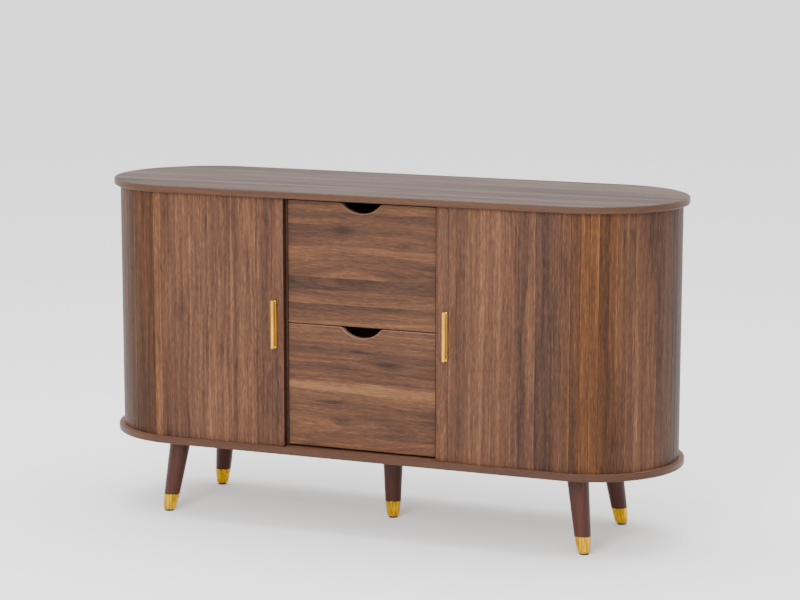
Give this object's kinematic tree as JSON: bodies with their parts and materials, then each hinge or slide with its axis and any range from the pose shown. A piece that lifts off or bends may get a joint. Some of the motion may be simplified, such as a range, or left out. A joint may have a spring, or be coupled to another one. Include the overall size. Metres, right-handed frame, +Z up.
{
  "type": "sliding door cabinet",
  "caption": "Stadium-shaped sideboard with two sliding tambour doors, stacked central drawers with finger notches and splayed tapered legs with ferrules.",
  "frame": {"origin": "on the floor under the middle of the cabinet", "axes": "+Z up, the drawers and doors face -Y, +X to the right seen from the front"},
  "size_m": [1.35, 0.425, 0.762],
  "materials": {
    "walnut_case": "satin lacquered walnut veneer",
    "walnut_slats": "satin lacquered walnut slats, upright grain",
    "walnut_drawer": "satin lacquered walnut veneer, level grain",
    "leg_wood": "dark walnut stained turned wood",
    "birch_ply": "clear lacquered plywood",
    "brass": "satin brass",
    "runner_steel": "zinc plated steel",
    "glide_plastic": "matte plastic glide"
  },
  "bodies": {
    "cabinet": {"top_panel": "walnut_case", "base_panel": "walnut_case", "back_panel": "walnut_case", "partition_left": "walnut_case", "partition_right": "walnut_case", "end_liner_left": "walnut_case", "end_liner_right": "walnut_case", "shelf_left": "walnut_case", "shelf_right": "walnut_case", "shelf_cleats_left": "walnut_case", "shelf_cleats_right": "walnut_case", "drawer_channels": "runner_steel", "legs_front": "leg_wood", "legs_back": "leg_wood", "leg_ferrules": "brass", "leg_glides": "glide_plastic"},
    "door_left": {"tambour_left_stile": "walnut_slats", "tambour_left_lead_slats": "walnut_slats", "handle_left": "brass"},
    "left_slat_03": {"tambour_left_slat_03": "walnut_slats"},
    "left_slat_04": {"tambour_left_slat_04": "walnut_slats"},
    "left_slat_05": {"tambour_left_slat_05": "walnut_slats"},
    "left_slat_06": {"tambour_left_slat_06": "walnut_slats"},
    "left_slat_07": {"tambour_left_slat_07": "walnut_slats"},
    "left_slat_08": {"tambour_left_slat_08": "walnut_slats"},
    "left_slat_09": {"tambour_left_slat_09": "walnut_slats"},
    "left_slat_10": {"tambour_left_slat_10": "walnut_slats"},
    "left_slat_11": {"tambour_left_slat_11": "walnut_slats"},
    "left_slat_12": {"tambour_left_slat_12": "walnut_slats"},
    "left_slat_13": {"tambour_left_slat_13": "walnut_slats"},
    "left_end_slats": {"tambour_left_end_slats": "walnut_slats"},
    "door_right": {"tambour_right_stile": "walnut_slats", "tambour_right_lead_slats": "walnut_slats", "handle_right": "brass"},
    "right_slat_03": {"tambour_right_slat_03": "walnut_slats"},
    "right_slat_04": {"tambour_right_slat_04": "walnut_slats"},
    "right_slat_05": {"tambour_right_slat_05": "walnut_slats"},
    "right_slat_06": {"tambour_right_slat_06": "walnut_slats"},
    "right_slat_07": {"tambour_right_slat_07": "walnut_slats"},
    "right_slat_08": {"tambour_right_slat_08": "walnut_slats"},
    "right_slat_09": {"tambour_right_slat_09": "walnut_slats"},
    "right_slat_10": {"tambour_right_slat_10": "walnut_slats"},
    "right_slat_11": {"tambour_right_slat_11": "walnut_slats"},
    "right_slat_12": {"tambour_right_slat_12": "walnut_slats"},
    "right_slat_13": {"tambour_right_slat_13": "walnut_slats"},
    "right_end_slats": {"tambour_right_end_slats": "walnut_slats"},
    "drawer_upper": {"drawer_upper_front": "walnut_drawer", "drawer_upper_sides": "birch_ply", "drawer_upper_back": "birch_ply", "drawer_upper_bottom": "birch_ply", "drawer_upper_rails": "runner_steel"},
    "drawer_lower": {"drawer_lower_front": "walnut_drawer", "drawer_lower_sides": "birch_ply", "drawer_lower_back": "birch_ply", "drawer_lower_bottom": "birch_ply", "drawer_lower_rails": "runner_steel"}
  },
  "joints": [
    {"name": "door_left_slide", "type": "slide", "parent": "cabinet", "child": "door_left", "axis": [-1, 0, 0], "range_m": [0, 0.234]},
    {"name": "left_slat_03_turn", "type": "hinge", "parent": "cabinet", "child": "left_slat_03", "pos_m": [-0.35972, 1.40318, 0.4685], "axis": [0, 0, -1], "range_deg": [0, 8.38]},
    {"name": "left_slat_04_turn", "type": "hinge", "parent": "cabinet", "child": "left_slat_04", "pos_m": [-0.36951, 0.74948, 0.4685], "axis": [0, 0, -1], "range_deg": [0, 14.15]},
    {"name": "left_slat_05_turn", "type": "hinge", "parent": "cabinet", "child": "left_slat_05", "pos_m": [-0.3793, 0.47398, 0.4685], "axis": [0, 0, -1], "range_deg": [0, 19.91]},
    {"name": "left_slat_06_turn", "type": "hinge", "parent": "cabinet", "child": "left_slat_06", "pos_m": [-0.38909, 0.3221, 0.4685], "axis": [0, 0, -1], "range_deg": [0, 25.68]},
    {"name": "left_slat_07_turn", "type": "hinge", "parent": "cabinet", "child": "left_slat_07", "pos_m": [-0.39887, 0.226, 0.4685], "axis": [0, 0, -1], "range_deg": [0, 31.45]},
    {"name": "left_slat_08_turn", "type": "hinge", "parent": "cabinet", "child": "left_slat_08", "pos_m": [-0.40866, 0.15991, 0.4685], "axis": [0, 0, -1], "range_deg": [0, 37.22]},
    {"name": "left_slat_09_turn", "type": "hinge", "parent": "cabinet", "child": "left_slat_09", "pos_m": [-0.41845, 0.11188, 0.4685], "axis": [0, 0, -1], "range_deg": [0, 42.98]},
    {"name": "left_slat_10_turn", "type": "hinge", "parent": "cabinet", "child": "left_slat_10", "pos_m": [-0.42824, 0.07562, 0.4685], "axis": [0, 0, -1], "range_deg": [0, 48.75]},
    {"name": "left_slat_11_turn", "type": "hinge", "parent": "cabinet", "child": "left_slat_11", "pos_m": [-0.43803, 0.0475, 0.4685], "axis": [0, 0, -1], "range_deg": [0, 54.52]},
    {"name": "left_slat_12_turn", "type": "hinge", "parent": "cabinet", "child": "left_slat_12", "pos_m": [-0.44782, 0.02529, 0.4685], "axis": [0, 0, -1], "range_deg": [0, 60.28]},
    {"name": "left_slat_13_turn", "type": "hinge", "parent": "cabinet", "child": "left_slat_13", "pos_m": [-0.45761, 0.00753, 0.4685], "axis": [0, 0, -1], "range_deg": [0, 66.05]},
    {"name": "left_end_slats_turn", "type": "hinge", "parent": "cabinet", "child": "left_end_slats", "pos_m": [-0.4625, 0, 0.4685], "axis": [0, 0, -1], "range_deg": [0, 68.93]},
    {"name": "door_right_slide", "type": "slide", "parent": "cabinet", "child": "door_right", "axis": [1, 0, 0], "range_m": [0, 0.234]},
    {"name": "right_slat_03_turn", "type": "hinge", "parent": "cabinet", "child": "right_slat_03", "pos_m": [0.35972, 1.40318, 0.4685], "axis": [0, 0, 1], "range_deg": [0, 8.38]},
    {"name": "right_slat_04_turn", "type": "hinge", "parent": "cabinet", "child": "right_slat_04", "pos_m": [0.36951, 0.74948, 0.4685], "axis": [0, 0, 1], "range_deg": [0, 14.15]},
    {"name": "right_slat_05_turn", "type": "hinge", "parent": "cabinet", "child": "right_slat_05", "pos_m": [0.3793, 0.47398, 0.4685], "axis": [0, 0, 1], "range_deg": [0, 19.91]},
    {"name": "right_slat_06_turn", "type": "hinge", "parent": "cabinet", "child": "right_slat_06", "pos_m": [0.38909, 0.3221, 0.4685], "axis": [0, 0, 1], "range_deg": [0, 25.68]},
    {"name": "right_slat_07_turn", "type": "hinge", "parent": "cabinet", "child": "right_slat_07", "pos_m": [0.39887, 0.226, 0.4685], "axis": [0, 0, 1], "range_deg": [0, 31.45]},
    {"name": "right_slat_08_turn", "type": "hinge", "parent": "cabinet", "child": "right_slat_08", "pos_m": [0.40866, 0.15991, 0.4685], "axis": [0, 0, 1], "range_deg": [0, 37.22]},
    {"name": "right_slat_09_turn", "type": "hinge", "parent": "cabinet", "child": "right_slat_09", "pos_m": [0.41845, 0.11188, 0.4685], "axis": [0, 0, 1], "range_deg": [0, 42.98]},
    {"name": "right_slat_10_turn", "type": "hinge", "parent": "cabinet", "child": "right_slat_10", "pos_m": [0.42824, 0.07562, 0.4685], "axis": [0, 0, 1], "range_deg": [0, 48.75]},
    {"name": "right_slat_11_turn", "type": "hinge", "parent": "cabinet", "child": "right_slat_11", "pos_m": [0.43803, 0.0475, 0.4685], "axis": [0, 0, 1], "range_deg": [0, 54.52]},
    {"name": "right_slat_12_turn", "type": "hinge", "parent": "cabinet", "child": "right_slat_12", "pos_m": [0.44782, 0.02529, 0.4685], "axis": [0, 0, 1], "range_deg": [0, 60.28]},
    {"name": "right_slat_13_turn", "type": "hinge", "parent": "cabinet", "child": "right_slat_13", "pos_m": [0.45761, 0.00753, 0.4685], "axis": [0, 0, 1], "range_deg": [0, 66.05]},
    {"name": "right_end_slats_turn", "type": "hinge", "parent": "cabinet", "child": "right_end_slats", "pos_m": [0.4625, 0, 0.4685], "axis": [0, 0, 1], "range_deg": [0, 68.93]},
    {"name": "drawer_upper_slide", "type": "slide", "parent": "cabinet", "child": "drawer_upper", "axis": [0, -1, 0], "range_m": [0, 0.26]},
    {"name": "drawer_lower_slide", "type": "slide", "parent": "cabinet", "child": "drawer_lower", "axis": [0, -1, 0], "range_m": [0, 0.26]}
  ],
  "couplings": [
    {"joint": "left_slat_03_turn", "follows": "door_left_slide", "rad_per_m": 0.62493},
    {"joint": "left_slat_04_turn", "follows": "door_left_slide", "rad_per_m": 1.0551},
    {"joint": "left_slat_05_turn", "follows": "door_left_slide", "rad_per_m": 1.4852},
    {"joint": "left_slat_06_turn", "follows": "door_left_slide", "rad_per_m": 1.9153},
    {"joint": "left_slat_07_turn", "follows": "door_left_slide", "rad_per_m": 2.3455},
    {"joint": "left_slat_08_turn", "follows": "door_left_slide", "rad_per_m": 2.7756},
    {"joint": "left_slat_09_turn", "follows": "door_left_slide", "rad_per_m": 3.2058},
    {"joint": "left_slat_10_turn", "follows": "door_left_slide", "rad_per_m": 3.6359},
    {"joint": "left_slat_11_turn", "follows": "door_left_slide", "rad_per_m": 4.066},
    {"joint": "left_slat_12_turn", "follows": "door_left_slide", "rad_per_m": 4.4962},
    {"joint": "left_slat_13_turn", "follows": "door_left_slide", "rad_per_m": 4.9263},
    {"joint": "left_end_slats_turn", "follows": "door_left_slide", "rad_per_m": 5.1414},
    {"joint": "right_slat_03_turn", "follows": "door_right_slide", "rad_per_m": 0.62493},
    {"joint": "right_slat_04_turn", "follows": "door_right_slide", "rad_per_m": 1.0551},
    {"joint": "right_slat_05_turn", "follows": "door_right_slide", "rad_per_m": 1.4852},
    {"joint": "right_slat_06_turn", "follows": "door_right_slide", "rad_per_m": 1.9153},
    {"joint": "right_slat_07_turn", "follows": "door_right_slide", "rad_per_m": 2.3455},
    {"joint": "right_slat_08_turn", "follows": "door_right_slide", "rad_per_m": 2.7756},
    {"joint": "right_slat_09_turn", "follows": "door_right_slide", "rad_per_m": 3.2058},
    {"joint": "right_slat_10_turn", "follows": "door_right_slide", "rad_per_m": 3.6359},
    {"joint": "right_slat_11_turn", "follows": "door_right_slide", "rad_per_m": 4.066},
    {"joint": "right_slat_12_turn", "follows": "door_right_slide", "rad_per_m": 4.4962},
    {"joint": "right_slat_13_turn", "follows": "door_right_slide", "rad_per_m": 4.9263},
    {"joint": "right_end_slats_turn", "follows": "door_right_slide", "rad_per_m": 5.1414}
  ]
}
